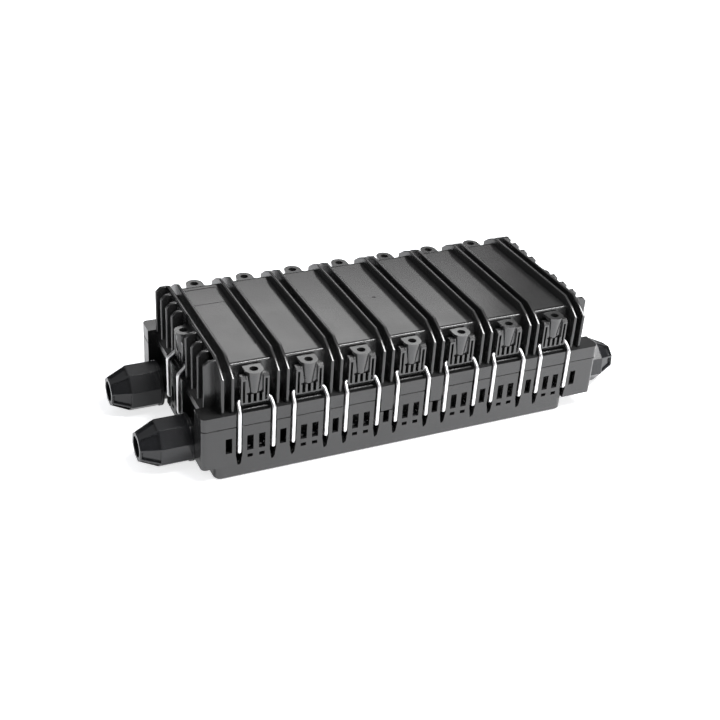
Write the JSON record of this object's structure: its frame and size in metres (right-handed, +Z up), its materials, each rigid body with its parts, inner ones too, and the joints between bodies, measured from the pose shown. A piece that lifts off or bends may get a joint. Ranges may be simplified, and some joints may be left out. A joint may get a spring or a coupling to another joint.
{
  "type": "dual-end fibre splice closure",
  "caption": "Closed in-line splice closure: ribbed and finned cover over a deep tray, held by wire clips around the seam, with octagonal cable gland nuts at both ends.",
  "frame": {"origin": "under the middle of the seam flange, on the plane of the keel that the closure stands on", "axes": "+X along the closure from one pair of cable ports to the other, +Y across it, +Z up"},
  "size_m": [0.4506, 0.1726, 0.1045],
  "materials": {
    "shell_black": "satin moulded black",
    "lever_black": "satin moulded black",
    "nut_black": "satin moulded black",
    "wire_steel": "bright drawn wire",
    "ring_plastic": "matte",
    "seal_rubber": "matte",
    "bracket_steel": "plain sheet",
    "screw_steel": "plated",
    "tray_grey": "matte",
    "tray_clear": "translucent",
    "clamp_plastic": "matte"
  },
  "bodies": {
    "root": {"lower_shell": "shell_black", "upper_shell": "shell_black", "perimeter_seal": "seal_rubber", "sealing_grommets": "seal_rubber", "tray_bracket": "bracket_steel", "bracket_screws": "screw_steel", "splice_tray_1": "tray_grey", "splice_tray_2": "tray_grey", "splice_tray_3": "tray_grey", "splice_tray_4": "tray_grey", "tray_cover": "tray_clear", "cable_saddles": "clamp_plastic", "clamp_caps": "clamp_plastic", "clamp_screws": "screw_steel", "strength_member_clamps": "clamp_plastic"},
    "bail_front_1": {"wire_bail_front_1": "wire_steel"},
    "lever_front_1": {"latch_lever_front_1": "lever_black"},
    "bail_rear_1": {"wire_bail_rear_1": "wire_steel"},
    "lever_rear_1": {"latch_lever_rear_1": "lever_black"},
    "bail_front_2": {"wire_bail_front_2": "wire_steel"},
    "lever_front_2": {"latch_lever_front_2": "lever_black"},
    "bail_rear_2": {"wire_bail_rear_2": "wire_steel"},
    "lever_rear_2": {"latch_lever_rear_2": "lever_black"},
    "bail_front_3": {"wire_bail_front_3": "wire_steel"},
    "lever_front_3": {"latch_lever_front_3": "lever_black"},
    "bail_rear_3": {"wire_bail_rear_3": "wire_steel"},
    "lever_rear_3": {"latch_lever_rear_3": "lever_black"},
    "bail_front_4": {"wire_bail_front_4": "wire_steel"},
    "lever_front_4": {"latch_lever_front_4": "lever_black"},
    "bail_rear_4": {"wire_bail_rear_4": "wire_steel"},
    "lever_rear_4": {"latch_lever_rear_4": "lever_black"},
    "bail_front_5": {"wire_bail_front_5": "wire_steel"},
    "lever_front_5": {"latch_lever_front_5": "lever_black"},
    "bail_rear_5": {"wire_bail_rear_5": "wire_steel"},
    "lever_rear_5": {"latch_lever_rear_5": "lever_black"},
    "bail_front_6": {"wire_bail_front_6": "wire_steel"},
    "lever_front_6": {"latch_lever_front_6": "lever_black"},
    "bail_rear_6": {"wire_bail_rear_6": "wire_steel"},
    "lever_rear_6": {"latch_lever_rear_6": "lever_black"},
    "bail_front_7": {"wire_bail_front_7": "wire_steel"},
    "lever_front_7": {"latch_lever_front_7": "lever_black"},
    "bail_rear_7": {"wire_bail_rear_7": "wire_steel"},
    "lever_rear_7": {"latch_lever_rear_7": "lever_black"},
    "bail_left_end": {"wire_bail_left_end": "wire_steel"},
    "lever_left_end": {"latch_lever_left_end": "lever_black"},
    "bail_right_end": {"wire_bail_right_end": "wire_steel"},
    "lever_right_end": {"latch_lever_right_end": "lever_black"},
    "ring_front_left": {"slip_ring_front_left": "ring_plastic"},
    "nut_front_left": {"gland_nut_front_left": "nut_black"},
    "ring_rear_left": {"slip_ring_rear_left": "ring_plastic"},
    "nut_rear_left": {"gland_nut_rear_left": "nut_black"},
    "ring_front_right": {"slip_ring_front_right": "ring_plastic"},
    "nut_front_right": {"gland_nut_front_right": "nut_black"},
    "ring_rear_right": {"slip_ring_rear_right": "ring_plastic"},
    "nut_rear_right": {"gland_nut_rear_right": "nut_black"}
  },
  "joints": [
    {"name": "bail_swing_front_1", "type": "hinge", "parent": "root", "child": "bail_front_1", "pos_m": [-0.138, -0.0774, 0.025], "axis": [1, 0, 0], "range_deg": [0, 85]},
    {"name": "lever_swing_front_1", "type": "hinge", "parent": "bail_front_1", "child": "lever_front_1", "pos_m": [-0.138, -0.0774, 0.0686], "axis": [1, 0, 0], "range_deg": [0, 85]},
    {"name": "bail_swing_rear_1", "type": "hinge", "parent": "root", "child": "bail_rear_1", "pos_m": [-0.138, 0.0774, 0.025], "axis": [-1, 0, 0], "range_deg": [0, 85]},
    {"name": "lever_swing_rear_1", "type": "hinge", "parent": "bail_rear_1", "child": "lever_rear_1", "pos_m": [-0.138, 0.0774, 0.0686], "axis": [-1, 0, 0], "range_deg": [0, 85]},
    {"name": "bail_swing_front_2", "type": "hinge", "parent": "root", "child": "bail_front_2", "pos_m": [-0.092, -0.0774, 0.025], "axis": [1, 0, 0], "range_deg": [0, 85]},
    {"name": "lever_swing_front_2", "type": "hinge", "parent": "bail_front_2", "child": "lever_front_2", "pos_m": [-0.092, -0.0774, 0.0686], "axis": [1, 0, 0], "range_deg": [0, 85]},
    {"name": "bail_swing_rear_2", "type": "hinge", "parent": "root", "child": "bail_rear_2", "pos_m": [-0.092, 0.0774, 0.025], "axis": [-1, 0, 0], "range_deg": [0, 85]},
    {"name": "lever_swing_rear_2", "type": "hinge", "parent": "bail_rear_2", "child": "lever_rear_2", "pos_m": [-0.092, 0.0774, 0.0686], "axis": [-1, 0, 0], "range_deg": [0, 85]},
    {"name": "bail_swing_front_3", "type": "hinge", "parent": "root", "child": "bail_front_3", "pos_m": [-0.046, -0.0774, 0.025], "axis": [1, 0, 0], "range_deg": [0, 85]},
    {"name": "lever_swing_front_3", "type": "hinge", "parent": "bail_front_3", "child": "lever_front_3", "pos_m": [-0.046, -0.0774, 0.0686], "axis": [1, 0, 0], "range_deg": [0, 85]},
    {"name": "bail_swing_rear_3", "type": "hinge", "parent": "root", "child": "bail_rear_3", "pos_m": [-0.046, 0.0774, 0.025], "axis": [-1, 0, 0], "range_deg": [0, 85]},
    {"name": "lever_swing_rear_3", "type": "hinge", "parent": "bail_rear_3", "child": "lever_rear_3", "pos_m": [-0.046, 0.0774, 0.0686], "axis": [-1, 0, 0], "range_deg": [0, 85]},
    {"name": "bail_swing_front_4", "type": "hinge", "parent": "root", "child": "bail_front_4", "pos_m": [0, -0.0774, 0.025], "axis": [1, 0, 0], "range_deg": [0, 85]},
    {"name": "lever_swing_front_4", "type": "hinge", "parent": "bail_front_4", "child": "lever_front_4", "pos_m": [0, -0.0774, 0.0686], "axis": [1, 0, 0], "range_deg": [0, 85]},
    {"name": "bail_swing_rear_4", "type": "hinge", "parent": "root", "child": "bail_rear_4", "pos_m": [0, 0.0774, 0.025], "axis": [-1, 0, 0], "range_deg": [0, 85]},
    {"name": "lever_swing_rear_4", "type": "hinge", "parent": "bail_rear_4", "child": "lever_rear_4", "pos_m": [0, 0.0774, 0.0686], "axis": [-1, 0, 0], "range_deg": [0, 85]},
    {"name": "bail_swing_front_5", "type": "hinge", "parent": "root", "child": "bail_front_5", "pos_m": [0.046, -0.0774, 0.025], "axis": [1, 0, 0], "range_deg": [0, 85]},
    {"name": "lever_swing_front_5", "type": "hinge", "parent": "bail_front_5", "child": "lever_front_5", "pos_m": [0.046, -0.0774, 0.0686], "axis": [1, 0, 0], "range_deg": [0, 85]},
    {"name": "bail_swing_rear_5", "type": "hinge", "parent": "root", "child": "bail_rear_5", "pos_m": [0.046, 0.0774, 0.025], "axis": [-1, 0, 0], "range_deg": [0, 85]},
    {"name": "lever_swing_rear_5", "type": "hinge", "parent": "bail_rear_5", "child": "lever_rear_5", "pos_m": [0.046, 0.0774, 0.0686], "axis": [-1, 0, 0], "range_deg": [0, 85]},
    {"name": "bail_swing_front_6", "type": "hinge", "parent": "root", "child": "bail_front_6", "pos_m": [0.092, -0.0774, 0.025], "axis": [1, 0, 0], "range_deg": [0, 85]},
    {"name": "lever_swing_front_6", "type": "hinge", "parent": "bail_front_6", "child": "lever_front_6", "pos_m": [0.092, -0.0774, 0.0686], "axis": [1, 0, 0], "range_deg": [0, 85]},
    {"name": "bail_swing_rear_6", "type": "hinge", "parent": "root", "child": "bail_rear_6", "pos_m": [0.092, 0.0774, 0.025], "axis": [-1, 0, 0], "range_deg": [0, 85]},
    {"name": "lever_swing_rear_6", "type": "hinge", "parent": "bail_rear_6", "child": "lever_rear_6", "pos_m": [0.092, 0.0774, 0.0686], "axis": [-1, 0, 0], "range_deg": [0, 85]},
    {"name": "bail_swing_front_7", "type": "hinge", "parent": "root", "child": "bail_front_7", "pos_m": [0.138, -0.0774, 0.025], "axis": [1, 0, 0], "range_deg": [0, 85]},
    {"name": "lever_swing_front_7", "type": "hinge", "parent": "bail_front_7", "child": "lever_front_7", "pos_m": [0.138, -0.0774, 0.0686], "axis": [1, 0, 0], "range_deg": [0, 85]},
    {"name": "bail_swing_rear_7", "type": "hinge", "parent": "root", "child": "bail_rear_7", "pos_m": [0.138, 0.0774, 0.025], "axis": [-1, 0, 0], "range_deg": [0, 85]},
    {"name": "lever_swing_rear_7", "type": "hinge", "parent": "bail_rear_7", "child": "lever_rear_7", "pos_m": [0.138, 0.0774, 0.0686], "axis": [-1, 0, 0], "range_deg": [0, 85]},
    {"name": "bail_swing_left_end", "type": "hinge", "parent": "root", "child": "bail_left_end", "pos_m": [-0.1734, 0, 0.025], "axis": [0, -1, 0], "range_deg": [0, 85]},
    {"name": "lever_swing_left_end", "type": "hinge", "parent": "bail_left_end", "child": "lever_left_end", "pos_m": [-0.1734, 0, 0.0686], "axis": [0, -1, 0], "range_deg": [0, 85]},
    {"name": "bail_swing_right_end", "type": "hinge", "parent": "root", "child": "bail_right_end", "pos_m": [0.1734, 0, 0.025], "axis": [0, 1, 0], "range_deg": [0, 85]},
    {"name": "lever_swing_right_end", "type": "hinge", "parent": "bail_right_end", "child": "lever_right_end", "pos_m": [0.1734, 0, 0.0686], "axis": [0, 1, 0], "range_deg": [0, 85]},
    {"name": "ring_travel_front_left", "type": "slide", "parent": "root", "child": "ring_front_left", "axis": [-1, 0, 0], "range_m": [0, 0.00901]},
    {"name": "nut_turn_front_left", "type": "hinge", "parent": "ring_front_left", "child": "nut_front_left", "pos_m": [-0.2, -0.044, 0.0206], "axis": [-1, 0, 0], "range_deg": [0, 1080]},
    {"name": "ring_travel_rear_left", "type": "slide", "parent": "root", "child": "ring_rear_left", "axis": [-1, 0, 0], "range_m": [0, 0.00901]},
    {"name": "nut_turn_rear_left", "type": "hinge", "parent": "ring_rear_left", "child": "nut_rear_left", "pos_m": [-0.2, 0.044, 0.0206], "axis": [-1, 0, 0], "range_deg": [0, 1080]},
    {"name": "ring_travel_front_right", "type": "slide", "parent": "root", "child": "ring_front_right", "axis": [1, 0, 0], "range_m": [0, 0.00901]},
    {"name": "nut_turn_front_right", "type": "hinge", "parent": "ring_front_right", "child": "nut_front_right", "pos_m": [0.2, -0.044, 0.0206], "axis": [1, 0, 0], "range_deg": [0, 1080]},
    {"name": "ring_travel_rear_right", "type": "slide", "parent": "root", "child": "ring_rear_right", "axis": [1, 0, 0], "range_m": [0, 0.00901]},
    {"name": "nut_turn_rear_right", "type": "hinge", "parent": "ring_rear_right", "child": "nut_rear_right", "pos_m": [0.2, 0.044, 0.0206], "axis": [1, 0, 0], "range_deg": [0, 1080]}
  ],
  "couplings": [
    {"joint": "ring_travel_front_left", "follows": "nut_turn_front_left", "m_per_rad": 0.00047746},
    {"joint": "ring_travel_rear_left", "follows": "nut_turn_rear_left", "m_per_rad": 0.00047746},
    {"joint": "ring_travel_front_right", "follows": "nut_turn_front_right", "m_per_rad": 0.00047746},
    {"joint": "ring_travel_rear_right", "follows": "nut_turn_rear_right", "m_per_rad": 0.00047746}
  ]
}
